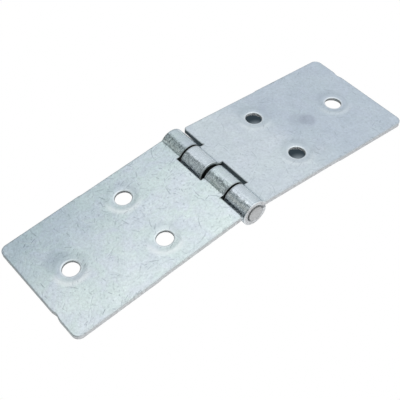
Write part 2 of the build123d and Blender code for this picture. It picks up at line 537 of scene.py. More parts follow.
@dataclass
class RolledLeaf:
    """One leaf of the hinge with its two rolled knuckles, as a closed surface."""

    side: Side
    blank: Blank
    profile: EdgeProfile
    axis_height: float

    @property
    def droop(self) -> float:
        """Angle by which the leaf falls to rest its end on the table, in radians.

        Returns:
            The arc sine of axis height over lever, plus the angle of the lever itself.
        """
        under = self.blank.section.leaf_under
        lever = math.hypot(self.blank.reach, under)
        return math.asin(self.axis_height / lever) + math.atan2(under, self.blank.reach)

    def _border(self, flat: np.ndarray, faces: np.ndarray) -> tuple[np.ndarray, np.ndarray, np.ndarray]:
        """Find the grid's border and its mitred outward directions.

        A border edge is one that only one face runs along. At each border point the directions
        of its two edges are added and scaled by 2 over the sum's squared length.

        Args:
            flat: points (s, y) of the grid.
            faces: its faces.

        Returns:
            The border's points, its edges as pairs of positions in that list, and the directions.
        """
        edges = np.concatenate([faces[:, [k, (k + 1) % 4]] for k in range(4)])
        key = edges[:, 0] * len(flat) + edges[:, 1]
        twin = edges[:, 1] * len(flat) + edges[:, 0]
        border = edges[~np.isin(key, twin)]
        points, packed = np.unique(border, return_inverse=True)
        packed = packed.reshape(border.shape)
        run = flat[border[:, 1]] - flat[border[:, 0]]
        outward = np.stack([run[:, 1], -run[:, 0]], 1) / np.hypot(*run.T)[:, None]
        total = np.zeros((len(points), 2))
        np.add.at(total, packed[:, 0], outward)
        np.add.at(total, packed[:, 1], outward)
        return points, packed, 2 * total / (total ** 2).sum(1)[:, None]

    def surface(self) -> Surface:
        """Work out the closed surface: upper face, lower face, and the edge between them.

        Returns:
            The surface in the row frame, with the values that its finish reads.
        """
        blank, profile = self.blank, self.profile
        sheet = blank.section.sheet
        flat, faces = blank.grid()
        border, pairs, outward = self._border(flat, faces)
        count = len(flat)
        curl_from, curl_run, middle_reach = 3.2, 1.2, 0.5
        curl = smooth_step((curl_from - flat[border, 0]) / curl_run)
        low_round = profile.under_round + (profile.mouth_round - profile.under_round) * curl
        at_hole = blank.from_hole(*flat[border].T) < blank.dish_radius
        s, y = [flat[:, 0], flat[:, 0]], [flat[:, 1], flat[:, 1]]
        w = [sheet - blank.dish(*flat.T), np.zeros(count)]
        edge, shear = [np.zeros(count)] * 2, [np.zeros(count)] * 2
        gap = np.hypot(*(flat[:, None] - flat[border][None]).transpose(2, 0, 1)).min(1)
        inward = [blank.inset + gap] * 2
        rows = profile.rows(blank.inset)
        ring_index = [border]
        roll = np.where(at_hole, profile.hole_roll, 1.0 - profile.knuckle_sharpness * curl)
        for number, (out, level, offset, edge_value, shear_value) in enumerate(rows[1:-1]):
            reach = out * {"round": low_round, "top": roll}.get(level, 1.0)
            reach = reach - profile.torn_width * at_hole * (level == "round")
            place = flat[border] + outward * (blank.inset + np.asarray(reach)).reshape(-1, 1)
            top = sheet - blank.dish(*place.T)
            height = {"top": top + offset * roll, "mid": (top - profile.roll_drop + low_round) / 2,
                      "low": np.where(at_hole, profile.torn_height, low_round * offset),
                      "round": low_round * offset}[level]
            s.append(place[:, 0])
            y.append(place[:, 1])
            w.append(height)
            inward.append(-np.broadcast_to(reach, len(border)))
            edge.append(np.full(len(border), edge_value))
            shear.append(np.full(len(border), shear_value))
            ring_index.append(2 * count + number * len(border) + np.arange(len(border)))
        ring_index.append(border + count)
        turn = 4 / (outward ** 2).sum(1) - 3
        corners = np.full(2 * count + (len(rows) - 2) * len(border), -1)
        for ring in ring_index:
            corners[ring] = np.where(turn < 0.5, np.arange(len(border)), -1)
        quads = [faces, faces[:, ::-1] + count]
        for upper, lower in zip(ring_index[:-1], ring_index[1:]):
            a, b = pairs[:, 0], pairs[:, 1]
            quads.append(np.stack([upper[b], upper[a], lower[a], lower[b]], 1))
        s, y, w = np.concatenate(s), np.concatenate(y), np.concatenate(w)
        x, z = blank.section.place(s, w)
        at_middle = np.abs(y - blank.inner_knuckle_start) < middle_reach
        values = {"developed": np.stack([s, y, w], 1), "at_middle": at_middle.astype(float),
                  "edge": np.concatenate(edge), "shear": np.concatenate(shear),
                  "inward": np.concatenate(inward), "in_gap": self._in_gap(s, y, w),
                  "from_hole": blank.from_hole(s, y), "beside_hole": blank.beside_hole(s, y)}
        return Surface(self._to_frame(x, y, z), np.concatenate(quads), values=values, corners=corners)

    def _in_gap(self, s: np.ndarray, y: np.ndarray, w: np.ndarray) -> np.ndarray:
        """Mark the ends of the knuckles that face another knuckle, for the painted shade in the gaps
        between them.

        The mark is one on such an end and falls to nothing in a soft step over the last part of
        the knuckle, in the wide gap at the middle already at the end's own rim. It ends where
        the strip has become the flat leaf.

        Args:
            s: developed lengths.
            y: places across the width.
            w: heights in the sheet.

        Returns:
            The mark, from 0 to 1.
        """
        blank, below_rim, end_run, flat_from, flat_run = self.blank, 1.28, 0.2, 0.8, 0.5
        narrow = np.minimum(np.abs(y + blank.half_width - blank.knuckle_length),
                            np.abs(y - blank.inner_knuckle_start - blank.knuckle_length))
        wide = np.abs(y - blank.inner_knuckle_start)
        ends = [smooth_step(1.15 - away / end_run) for away in (narrow, wide)]
        mark = np.maximum(ends[0], ends[1] * (w < below_rim))
        return mark * smooth_step((blank.notch_reach + flat_from - s) / flat_run)

    def _to_frame(self, x: np.ndarray, y: np.ndarray, z: np.ndarray) -> np.ndarray:
        """Turn the leaf by its droop about the pin axis, face it to its side and lift it.

        Args:
            x: distances out along the leaf.
            y: places across the width.
            z: heights above the pin axis.

        Returns:
            The points in the frame, in rows.
        """
        c, si = math.cos(self.droop), math.sin(self.droop)
        out, up = x * c + z * si, z * c - x * si
        return np.stack([out * self.side.value, y * self.side.value, up + self.axis_height], 1)

    def build(self) -> bpy.types.Object:
        """Make the leaf's object and put it in the place of its CAD node.

        Returns:
            The object.
        """
        piece = self.surface().to_object(f"{self.side.node}_plated")
        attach(piece, self.side.body)
        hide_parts(self.side.node)
        return piece


@dataclass
class WirePin:
    """The wire pin along Y with dressed ends, as a closed turned surface, in millimetres."""

    radius: float
    half_length: float
    axis_height: float
    round_edge: float = 0.15
    around: int = 96

    def surface(self) -> Surface:
        """Turn the profile round the pin's axis.

        The profile runs along radius and length: a shallow level end, a rounded edge that
        follows a quarter circle, and the straight wire, mirrored to the other end.

        Returns:
            The surface in the row frame, with a value that tells the ends from the wire.
        """
        turn = np.radians([90, 75, 60, 45, 30, 15, 0])
        edge_r = self.radius - self.round_edge * (1 - np.cos(turn))
        edge_y = self.half_length - self.round_edge * (1 - np.sin(turn))
        flat_r = np.linspace(0.0, self.radius - self.round_edge - 0.08, 10)[1:]
        flat_y = np.full(len(flat_r), self.half_length)
        half_r = np.concatenate([flat_r, edge_r, [self.radius]])
        half_y = np.concatenate([flat_y, edge_y, [self.half_length - 1.0]])
        r = np.concatenate([half_r, half_r[::-1]])
        along = np.concatenate([half_y, -half_y[::-1]])
        is_end = np.repeat([1.0, 0.4, 0.0], [len(flat_r), len(edge_r), 1])
        is_end = np.concatenate([is_end, is_end[::-1]])
        angle = 2 * math.pi * np.arange(self.around) / self.around
        x, z = r[:, None] * np.cos(angle), r[:, None] * np.sin(angle)
        y = np.repeat(along[:, None], self.around, 1)
        body = np.stack([x, y, z + self.axis_height], -1).reshape(-1, 3)
        poles = np.array([[0, side * self.half_length, self.axis_height] for side in (1, -1)])
        index = np.arange(len(body)).reshape(len(r), self.around)
        turned = np.roll(index, -1, axis=1)
        quads = np.stack([index[:-1], index[1:], turned[1:], turned[:-1]], -1).reshape(-1, 4)
        first, last = index[0], index[-1]
        caps = np.concatenate([
            np.stack([np.full(self.around, len(body)), first, np.roll(first, -1)], 1),
            np.stack([np.full(self.around, len(body) + 1), np.roll(last, -1), last], 1)])
        values = {"end": np.concatenate([np.repeat(is_end, self.around), [1.0, 1.0]])}
        return Surface(np.concatenate([body, poles]), quads, caps, values)

    def build(self) -> bpy.types.Object:
        """Make the pin's object and put it in the place of its CAD node.

        Returns:
            The object.
        """
        piece = self.surface().to_object("hinge_pin_wire")
        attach(piece, Side.RIGHT.body)
        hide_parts("hinge_pin")
        return piece


class Value:
    """A node's output, to be reckoned with like a number."""

    def __init__(self, nodes: "Nodes", socket: bpy.types.NodeSocket) -> None:
        """Hold an output of a node in this tree."""
        self.nodes, self.socket = nodes, socket

    def __add__(self, other: "float | Value") -> "Value":
        """Add."""
        return self.nodes.math("ADD", self, other)

    def __sub__(self, other: "float | Value") -> "Value":
        """Subtract."""
        return self.nodes.math("SUBTRACT", self, other)

    def __rsub__(self, other: float) -> "Value":
        """Take from a number."""
        return self.nodes.math("SUBTRACT", other, self)

    def __mul__(self, other: "float | Value") -> "Value":
        """Multiply."""
        return self.nodes.math("MULTIPLY", self, other)

    def __truediv__(self, other: "float | Value") -> "Value":
        """Divide."""
        return self.nodes.math("DIVIDE", self, other)

    def __rtruediv__(self, other: float) -> "Value":
        """Divide a number by this."""
        return self.nodes.math("DIVIDE", other, self)

    def __abs__(self) -> "Value":
        """Drop the sign."""
        return self.nodes.math("ABSOLUTE", self)

    def fade(self, reach: "Value") -> "Value":
        """Fall evenly from one, where this is nought, to nothing at the reach."""
        return self.nodes.math("SUBTRACT", 1.0, self / reach, clamp=True)

    def remap(self, low: float, high: float, to_low: float = 0.0, to_high: float = 1.0,
              smooth: bool = False) -> "Value":
        """Map low..high to to_low..to_high, held at its ends.

        Args:
            low: value that gives to_low.
            high: value that gives to_high.
            to_low: first result.
            to_high: last result.
            smooth: whether the way between them is a soft step.

        Returns:
            The mapped value.
        """
        inputs = {0: self, 1: low, 2: high, 3: to_low, 4: to_high}
        kind = "SMOOTHSTEP" if smooth else "LINEAR"
        return self.nodes.add("MapRange", inputs, interpolation_type=kind)

    def rise(self, start: float, full: float, top: float = 1.0) -> "Value":
        """Rise softly from nothing at start to top at full, whichever of the two is greater."""
        return self.remap(start, full, 0.0, top, smooth=True)

    def band(self, start: float, full: float, last: float, end: float) -> "Value":
        """Rise softly from start to full, and fall softly from last to end."""
        return self.rise(start, full) * self.rise(end, last)

    def spread(self, low: float, high: float) -> "Value":
        """Spread the usual span of a noise, 0.3 to 0.7, over low..high."""
        return self.remap(0.3, 0.7, low, high)

    def mixed(self, share: "float | Value", colour: "Colour | Value") -> "Value":
        """Mix a share of another colour into this one."""
        return self.nodes.mix(share, self, colour)

    def shaded(self, by: "Colour | Value", share: float = 1.0) -> "Value":
        """Multiply this colour by another one, or by a number."""
        return self.nodes.mix(share, self, by, "MULTIPLY")


class Nodes:
    """A short way to write a node tree."""

    def __init__(self, tree: bpy.types.NodeTree) -> None:
        """Start on a tree, emptied first."""
        self.tree = tree
        tree.nodes.clear()

    def many(self, kind: str, inputs: dict | None = None, **settings: object) -> list[Value]:
        """Add a node.

        Args:
            kind: the node's type after "ShaderNode".
            inputs: socket name or number to a number, a colour or a value.
            settings: the node's own properties.

        Returns:
            The node's outputs.
        """
        node = self.tree.nodes.new(kind if kind.startswith("Node") else "ShaderNode" + kind)
        for name, value in settings.items():
            setattr(node, name, value)
        for name, value in (inputs or {}).items():
            if isinstance(value, Value):
                self.tree.links.new(value.socket, node.inputs[name])
            else:
                socket = node.inputs[name]
                flat = socket.type == "RGBA" and isinstance(value, tuple)
                socket.default_value = (*value, 1.0) if flat else value
        return [Value(self, socket) for socket in node.outputs]

    def add(self, kind: str, inputs: dict | None = None, output: int = 0, **settings: object) -> Value:
        """Add a node and give back one of its outputs."""
        return self.many(kind, inputs, **settings)[output]

    def math(self, operation: str, *values: "float | Value", clamp: bool = False) -> Value:
        """Add a Math node and give back its result."""
        return self.add("Math", dict(enumerate(values)), operation=operation, use_clamp=clamp)

    def most(self, *values: Value) -> Value:
        """Take the greatest of the values."""
        return reduce(partial(self.math, "MAXIMUM"), values)

    def vector(self, operation: str, *values: object) -> Value:
        """Add a Vector Math node and give back its result."""
        is_number = operation in ("DOT_PRODUCT", "DISTANCE")
        return self.add("VectorMath", dict(enumerate(values)), int(is_number), operation=operation)

    def noise(self, vector: Value, scale: float, detail: float = 2.0, roughness: float = 0.5,
              distortion: float = 0.0) -> Value:
        """Add a Noise Texture and give back its value."""
        return self.add("TexNoise", {"Vector": vector, "Scale": scale, "Detail": detail,
                                     "Roughness": roughness, "Distortion": distortion})

    def mix(self, share: "float | Value", first: "Colour | Value", second: "Colour | Value",
            blend: str = "MIX") -> Value:
        """Mix two colours."""
        return self.add("Mix", {0: share, 6: first, 7: second}, 2, data_type="RGBA", blend_type=blend,
                        clamp_factor=True)

    def read(self, attribute: str) -> Value:
        """Read a point attribute of the mesh that holds one number."""
        return self.add("Attribute", output=2, attribute_name=attribute)

    def read_vector(self, attribute: str) -> Value:
        """Read a point attribute of the mesh that holds a vector."""
        return self.add("Attribute", output=1, attribute_name=attribute)

    def own_place(self) -> Value:
        """Read the place in the piece's own coordinates, in millimetres."""
        return self.vector("MULTIPLY", self.add("TexCoord", output=3), (1.0 / MM,) * 3)

    def finish(self, colour: Value, roughness: Value, metallic: "float | Value", height: Value) -> None:
        """End a metal's tree with its bump and its shader.

        Args:
            colour: base colour.
            roughness: roughness.
            metallic: share of metal.
            height: height of the bump, in millimetres.
        """
        bump = self.add("Bump", {"Strength": 1.0, "Distance": MM, "Height": height})
        shader = self.add("BsdfPrincipled", {"Base Color": colour, "Roughness": roughness,
                                             "Metallic": metallic, "Normal": bump})
        self.many("OutputMaterial", {"Surface": shader})


def new_material(name: str) -> tuple[bpy.types.Material, Nodes]:
    """Make a material with an empty node tree, and its node writer.

    Args:
        name: name of the material.

    Returns:
        The material and its node writer.
    """
    made = bpy.data.materials.new(name)
    made.use_nodes = True
    return made, Nodes(made.node_tree)


def new_group(name: str, inputs: dict[str, float | None],
              outputs: tuple[str, ...]) -> tuple[bpy.types.NodeTree, Nodes, list[Value]]:
    """Make an empty node group with its sockets.

    Args:
        name: name of the group.
        inputs: input name to its first value, or to None for a vector.
        outputs: names of the outputs, each a number.

    Returns:
        The group, its node writer, and what its inputs bring.
    """
    group = bpy.data.node_groups.new(name, "ShaderNodeTree")
    for label, value in inputs.items():
        kind = "NodeSocketVector" if value is None else "NodeSocketFloat"
        socket = group.interface.new_socket(label, in_out="INPUT", socket_type=kind)
        if value is not None:
            socket.default_value = value
    for label in outputs:
        group.interface.new_socket(label, in_out="OUTPUT", socket_type="NodeSocketFloat")
    nodes = Nodes(group)
    return group, nodes, nodes.many("NodeGroupInput")[:len(inputs)]


def stray_scratches() -> bpy.types.NodeTree:
    """Group of short, slightly bent scratches, one in each cell of a loose pattern.

    Each cell's own random number turns its scratch; the mask is one along a thin line through
    the cell's point and fades to its ends.

    Returns:
        The group: Vector in millimetres, Cell, Length and Width in millimetres, to Mask.
    """
    shortest, bend, end_sharpness = 0.35, 0.07, 3.0
    group, nodes, (vector, cell, length, width) = new_group(
        "stray_scratches", {"Vector": None, "Cell": 3.0, "Length": 1.0, "Width": 0.1}, ("Mask",))
    _, cell_colour, cell_place, *_ = nodes.many(
        "TexVoronoi", {"Vector": vector, "Scale": 1.0 / cell}, voronoi_dimensions="2D", feature="F1")
    turn, share, strength = nodes.many("SeparateColor", {0: cell_colour})
    turned = nodes.add("VectorRotate", {"Vector": nodes.vector("SUBTRACT", vector, cell_place),
                                        "Angle": turn * (2 * math.pi)}, rotation_type="Z_AXIS")
    along, across, _ = nodes.many("SeparateXYZ", {0: turned})
    line = abs(across + along * along * bend).fade(width)
    ends = abs(along).fade(length * share.remap(0.0, 1.0, shortest, 1.0)) * end_sharpness
    nodes.many("NodeGroupOutput", {"Mask": line * nodes.math("MINIMUM", ends, 1.0) * strength})
    return group


def plating_mottle() -> bpy.types.NodeTree:
    """Group of the plating's own mottle: broad clouds, small grains and rare fine specks.

    Returns:
        The group: Vector and Grain size in millimetres, to Clouds, Grain and Specks.
    """
    group, nodes, (vector, size) = new_group(
        "plating_mottle", {"Vector": None, "Grain": 1.0}, ("Clouds", "Grain", "Specks"))
    fine = nodes.add("VectorMath", {0: vector, "Scale": 1.0 / size}, operation="SCALE")
    rare = nodes.noise(vector, 0.55, 2.0).remap(0.55, 0.7)
    dots = nodes.add("TexVoronoi", {"Vector": fine, "Scale": 1.1}, feature="F1").rise(0.3, 0.05)
    clouds = nodes.noise(vector, 0.16, 3.0, 0.55, 0.4)
    grain = nodes.noise(fine, 1.0, 3.0, 0.62, 0.5)
    nodes.many("NodeGroupOutput", {"Clouds": clouds, "Grain": grain, "Specks": dots * rare})
    return group


class Paint:
    """Colours that dirt, wear and bare metal bring to the zinc, and colours of painted shade and
    painted highlight.
    """

    LILAC, GREENISH = (1.0, 0.985, 1.02), (0.985, 1.012, 0.98)       # tints of the clouds
    DISH, RUBBED = (0.35, 0.40, 0.42), (0.90, 0.93, 0.95)            # painted shade of the dish, and the rubbed lip, round the holes
    # painted highlight and painted shade for the lit and the shaded side of each dish's rim
    BRIGHT_RIM, DULL_RIM = (0.98, 1.0, 1.0), (0.30, 0.36, 0.40)
    SCRATCH, LIT_SCRATCH = (0.16, 0.20, 0.24), (0.93, 0.95, 0.95)
    BORDER_SPECK = (0.27, 0.31, 0.32)
    CUT, CUT_IN_GAP = (0.345, 0.335, 0.34), (0.26, 0.33, 0.335)
    WORN_EDGE, PLAIN_EDGE = (0.84, 0.87, 0.88), (0.36, 0.385, 0.40)
    # dirt on the knuckles' rims together with painted shade in the crease, notches, bores and holes'
    # walls; painted shade in the gaps between knuckles
    SOIL, GAP_SOIL = (0.055, 0.085, 0.10), (0.012, 0.015, 0.014)
    STREAK, SHINE, PALE = (0.26, 0.32, 0.33), (0.95, 0.98, 0.96), (0.97, 0.98, 0.96)   # painted shade and painted highlights on the knuckles


class Sheet:
    """What the zinc reads from a leaf's mesh, its textures, and the masks that its layers share.

    Lengths are in millimetres.
    """

    # Cell, length, width and shift of the fine, short and long dark scratches and the light ones
    SCRATCHES = ((1.5, 0.5, 0.28, 0.0), (2.6, 1.2, 0.20, 37.0), (5.2, 3.2, 0.19, 71.0),
                 (5.5, 3.2, 0.22, 113.0))

    def __init__(self, nodes: Nodes, polished: tuple[float, float], scratches: bpy.types.NodeTree,
                 mottle: bpy.types.NodeTree) -> None:
        """Read the attributes and work out the masks.

        Args:
            nodes: the material's node writer.
            polished: where the smooth part of the knuckles starts and where it is full.
            scratches: the group of stray scratches.
            mottle: the group of the plating's mottle.
        """
        self.nodes = nodes
        self.place = nodes.read_vector("developed")
        self.along, self.across, self.height = nodes.many("SeparateXYZ", {0: self.place})
        self.edge, self.shear, self.inward, self.from_hole, self.at_middle, in_gap = map(
            nodes.read, ("edge", "shear", "inward", "from_hole", "at_middle", "in_gap"))
        # the lip of a knuckle end in the wide middle gap is kept out of the painted gap shade
        lip_line = abs(self.height - 1.19).remap(0.04, 0.15, 0.25, 1.0, smooth=True)
        lip = self.height.rise(0.72, 0.95, 0.85) * lip_line
        self.in_gap = in_gap * (1.0 - lip * self.at_middle)
        self.on_curl = self.along.rise(4.2, 2.2)
        on_top = self.on_curl * self.along.rise(*polished)
        self.calm = 1.0 - on_top * 0.75
        self.on_flank = self.on_curl - on_top
        self.at_hole = self.from_hole.remap(2.95, 2.75)
        clouds, self.grain, self.specks = nodes.many("Group", {"Vector": self.place, "Grain": 0.75},
                                                     node_tree=mottle)
        self.tone = clouds.spread(0.0, 1.0)
        fine, short, long, self.lit_scratches = (
            nodes.add("Group", {"Vector": nodes.vector("ADD", self.place, (shift, shift, 0.0)),
                                "Cell": cell, "Length": length, "Width": width}, node_tree=scratches)
            for cell, length, width, shift in self.SCRATCHES)
        self.scratched = nodes.most(fine * 0.7, short, long * 1.05)

    def noise(self, scale: float, detail: float = 2.0, roughness: float = 0.5,
              distortion: float = 0.0) -> Value:
        """Noise on the developed sheet."""
        return self.nodes.noise(self.place, scale, detail, roughness, distortion)

    def stretched(self, along: float, across: float, detail: float, roughness: float) -> Value:
        """Noise with one scale along the developed length and one across it."""
        place = self.nodes.vector("MULTIPLY", self.place, (along, across, 1.0))
        return self.nodes.noise(place, 1.0, detail, roughness)


@dataclass(frozen=True)
class Stain:
    """A soft round stain on the plating: place and radius in millimetres, and its colour."""

    place: tuple[float, float, float]
    radius: float
    share: float
    colour: Colour

    def add_to(self, colour: Value, at: Sheet, wobble: Value) -> Value:
        """Lay the stain over the colour, its outline moved by a fifth of the wobble.

        Args:
            colour: the colour so far.
            at: what the leaf's mesh and textures give.
            wobble: soft noise in millimetres.

        Returns:
            The colour with the stain.
        """
        flat = at.nodes.vector("MULTIPLY", at.place, (1.0, 1.0, 0.0))
        away = at.nodes.vector("DISTANCE", flat, self.place)
        share = (away + wobble * 0.2).rise(1.15 * self.radius, 0.55 * self.radius, self.share)
        return colour.mixed(share, self.colour)


@dataclass(frozen=True)
class Smear:
    """A ragged band of painted shade or of painted highlight, by its colour, along the knuckles. Its
    line on the developed length, its half width and the part of the leaf's width that it covers are in
    millimetres."""

    line: float
    half_width: float
    share: float
    colour: Colour
    cover: tuple[float, float] = (-19.0, 19.0)

    def add_to(self, colour: Value, at: Sheet, brushed: Value) -> Value:
        """Lay the band over the colour, its line moved by the brushed noise.

        Args:
            colour: the colour so far.
            at: what the leaf's mesh and textures give.
            brushed: noise drawn out along the knuckles.

        Returns:
            The colour with the band.
        """
        away = abs(at.along + brushed.spread(-0.35, 0.35) - self.line)
        low, high = self.cover
        inside = at.across.remap(low, low + 0.8) * at.across.remap(high, high - 0.8)
        share = away.rise(self.half_width, 0.25 * self.half_width, self.share) * inside * at.on_curl
        return colour.mixed(share, self.colour)


@dataclass(frozen=True)
class ZincFinish:
    """Satin zinc plating on pressed sheet. Lengths, places and heights are in millimetres.

    Each layer is laid over the ones before it, in the order of the methods.
    """

    name: str
    light: Colour
    dark: Colour
    roughness: float
    grain_height: float          # of the bump
    scratch_height: float
    scratch_share: float         # how strongly the scratches show in the colour
    # Painted shade: the colour falls off toward the leaf's outer end, standing in for the light's own
    # falloff.
    tarnish: Colour              # share of the colour left where the painted shade toward the leaf's end is full
    tarnish_across: tuple[float, float]         # y where it starts and where it is full
    tarnish_along: tuple[float, float, float]   # length where it starts and is full, share before
    tarnish_lean: float = 0.0    # how far that start moves along for each millimetre across
    stains: tuple[Stain, ...] = ()
    # ragged bands of painted shade and painted highlight along the knuckles
    smears: tuple[Smear, ...] = ()
    polished: tuple[float, float] = (-2.0, -1.0)   # where the knuckles' smooth part starts, is full
    hue_share: float = 1.0       # how strongly its clouds turn lilac and green
    rim_side: tuple[float, float, float] = (0.5, 0.87, 0.0)   # the side of each dish's rim that gets a painted highlight; the other side gets painted shade
    rim_shares: tuple[float, float] = (0.6, 0.12)   # how strong the painted highlight is there, and the painted shade across
    end_soil: float = 0.0        # how dark the painted shade on the rim of the outer knuckle's free end is
    fleck_share: float = 0.05    # how far the grain lightens and darkens the colour
    flank_fleck: float = 0.24    # how much more it does so on the knuckles' rough part
    streak_height: float = 0.06  # of the marks that rolling leaves along the knuckles
    pit_height: float = 0.06     # of the small dents that it leaves there
    rolled_polish: float = 0.12  # how much smoother it leaves them
    rolled_shade: float = 1.0    # share of the colour left there
    crease: float = 1.62         # developed length at which the curl leaves the bend
    crease_share: float = 0.5    # how dark the painted shade in it is
    bored_share: float = 0.7     # how dark the painted shade on the holes' walls is

    def material(self, scratches: bpy.types.NodeTree, mottle: bpy.types.NodeTree) -> bpy.types.Material:
        """Build the material.

        Args:
            scratches: the group of stray scratches.
            mottle: the group of the plating's mottle.

        Returns:
            The material.
        """
        made, nodes = new_material(self.name)
        at = Sheet(nodes, self.polished, scratches, mottle)
        colour = self._flecks(self._plating(at), at)
        colour = self._scratches(self._holes(colour, at), at)
        colour = self._soil(self._edges(colour, at), at)
        rough = (at.grain.spread(self.roughness - 0.05, self.roughness + 0.06) + at.shear * 0.12
                 - at.on_curl * self.rolled_polish + at.in_gap * 0.3)
        metallic = nodes.most(at.shear, at.in_gap).remap(0.0, 1.0, 1.0, 0.35)
        nodes.finish(colour, rough, metallic, self._height(at))
        return made

    def _plating(self, at: Sheet) -> Value:
        """Clouds of the two colours and hues, wisps, painted shade toward the leaf's outer end, stains,
        and bands of painted shade and painted highlight along the knuckles.

        Args:
            at: what the leaf's mesh and textures give.

        Returns:
            The colour.
        """
        nodes = at.nodes
        hue = nodes.noise(nodes.vector("ADD", at.place, (53.0, 17.0, 0.0)), 0.15, 3.0, 0.6, 0.8)
        hue = nodes.mix(hue.remap(0.38, 0.62), Paint.LILAC, Paint.GREENISH)
        colour = nodes.mix(at.tone, self.dark, self.light).shaded(hue, self.hue_share)
        colour = colour.shaded(at.noise(0.42, 4.0, 0.6, 1.6).spread(0.955, 1.045))
        wobble = at.noise(0.10, 4.0, 0.6).spread(-4.0, 4.0)
        # painted shade that darkens the leaf toward its outer end
        along = at.along + wobble + at.across * self.tarnish_lean
        dulled = ((at.across + wobble).rise(*self.tarnish_across)
                  * along.remap(*self.tarnish_along, 1.0, smooth=True))
        colour = colour.mixed(dulled, colour.shaded(self.tarnish))
        for stain in self.stains:
            colour = stain.add_to(colour, at, wobble)
        # bands of painted shade and painted highlight along the knuckles
        brushed = at.stretched(1.6, 0.22, 4.0, 0.65)
        for smear in self.smears:
            colour = smear.add_to(colour, at, brushed)
        return colour

    def _flecks(self, colour: Value, at: Sheet) -> Value:
        """Grain in the colour, strongest on the knuckles' rough part, and rare dark specks.

        Args:
            colour: the colour so far.
            at: what the leaf's mesh and textures give.

        Returns:
            The colour with this layer.
        """
        depth = at.on_flank * self.flank_fleck + at.calm * self.fleck_share
        fleck = at.grain.remap(0.35, 0.65, -1.0, 1.0) * depth
        fleck = fleck + at.on_curl.remap(0.0, 1.0, 1.0, self.rolled_shade)
        return colour.shaded(fleck * at.specks.remap(0.0, 1.0, 1.0, 0.85))

    def _holes(self, colour: Value, at: Sheet) -> Value:
        """Painted shade of the pressed ring and its outline, the rubbed lip, and a painted highlight on
        one side of each rim with painted shade on the other.

        Args:
            colour: the colour so far.
            at: what the leaf's mesh and textures give.

        Returns:
            The colour with this layer.
        """
        radius = at.from_hole
        # painted shade of the pressed dish: a soft dark ring, and a dark line at its rim
        ring = radius.band(2.7, 3.1, 3.9, 5.0) * at.grain.spread(0.04, 0.13)
        outline = abs(radius - 4.4).rise(0.35, 0.05, 0.14) * at.tone.remap(0.2, 0.8, 0.3, 1.0)
        colour = colour.mixed(ring + outline, Paint.DISH)
        colour = colour.mixed(radius.rise(3.25, 2.75, 0.45), Paint.RUBBED)
        # painted highlight on one side of each dish's rim and painted shade on the other
        beside = at.nodes.read_vector("beside_hole")
        toward = at.nodes.vector("DOT_PRODUCT", beside, self.rim_side) / radius
        bright = toward.rise(0.0, 0.8, self.rim_shares[0]) * radius.band(3.6, 4.8, 4.9, 6.4)
        dull = toward.rise(0.0, -0.8, self.rim_shares[1]) * radius.band(3.1, 3.9, 5.0, 6.4)
        return colour.mixed(bright, Paint.BRIGHT_RIM).mixed(dull, Paint.DULL_RIM)

    def _scratches(self, colour: Value, at: Sheet) -> Value:
        """Dark scratches in patches, light ones, and specks of dirt along the leaf's border.

        Args:
            colour: the colour so far.
            at: what the leaf's mesh and textures give.

        Returns:
            The colour with this layer.
        """
        patches = at.noise(0.13, 3.0, 0.6).remap(0.42, 0.6, 0.3, 1.0, smooth=True)
        colour = colour.mixed(at.scratched * self.scratch_share * at.calm * patches, Paint.SCRATCH)
        colour = colour.mixed(at.lit_scratches * (0.5 * self.scratch_share), Paint.LIT_SCRATCH)
        border = at.nodes.most(at.along.rise(LEAF_REACH - 0.95, LEAF_REACH - 0.25),
                               abs(at.across).rise(HALF_WIDTH - 0.9, HALF_WIDTH - 0.2))
        specks = (at.noise(0.9, 4.0, 0.7).remap(0.5, 0.62, 0.0, 0.5)
                  * at.noise(0.16, 2.0).remap(0.46, 0.58, 0.1, 1.0))
        return colour.mixed(specks * border * (1.0 - at.on_curl), Paint.BORDER_SPECK)

    def _edges(self, colour: Value, at: Sheet) -> Value:
        """Cut faces, edges worn bright on the knuckles and at the holes, and plain grey ones.

        Args:
            colour: the colour so far.
            at: what the leaf's mesh and textures give.

        Returns:
            The colour with this layer.
        """
        cut = at.shear * at.noise(1.6, 3.0).spread(0.6, 1.0)
        colour = colour.mixed(cut, at.nodes.mix(at.at_middle, Paint.CUT, Paint.CUT_IN_GAP))
        worn = at.noise(0.7, 3.0).remap(0.35, 0.65, 0.1, 0.5) * at.on_curl.remap(0.0, 1.0, 0.3, 1.0)
        worn = at.nodes.most(at.edge * worn, at.edge * at.at_hole * 0.7)
        plain = at.edge * at.on_curl.remap(0.0, 1.0, 0.45, 0.0) * at.from_hole.remap(2.8, 3.2)
        return colour.mixed(worn, Paint.WORN_EDGE).mixed(plain, Paint.PLAIN_EDGE)

    def _soil(self, colour: Value, at: Sheet) -> Value:
        """Dirt on the knuckles' rims; painted shade on the outer knuckle's free rim, in the bores and
        mouths, in the crease, on the notches' cut faces and the holes' walls, and in the gaps between
        knuckles.

        Args:
            colour: the colour so far.
            at: what the leaf's mesh and textures give.

        Returns:
            The colour with this layer.
        """
        # dirt just inside the knuckles' rims; the rest is painted shade in the crease, on the notches'
        # cut faces, on the outer knuckle's free rim, in the bores and on the holes' walls
        rim = at.inward.band(0.16, 0.34, 0.38, 0.70) * at.on_curl * 0.22
        crease = abs(at.along - self.crease).rise(0.22, 0.04, self.crease_share)
        notch = (at.shear * at.along.remap(4.1, 4.3) * at.along.remap(5.3, 4.9)
                 * abs(at.across).remap(HALF_WIDTH - 0.2, HALF_WIDTH - 0.5, 0.0, 0.86))
        free_end = at.across.remap(0.3 - HALF_WIDTH, 0.08 - HALF_WIDTH, 0.0, self.end_soil)
        rolled = at.nodes.most(free_end, at.height.remap(0.42, 0.08, 0.0, 0.62)) * at.on_curl
        bored = at.shear * at.at_hole * at.height.remap(0.7, 0.95, 0.0, self.bored_share)
        soiled = at.nodes.most(rim, crease, notch, rolled, bored)
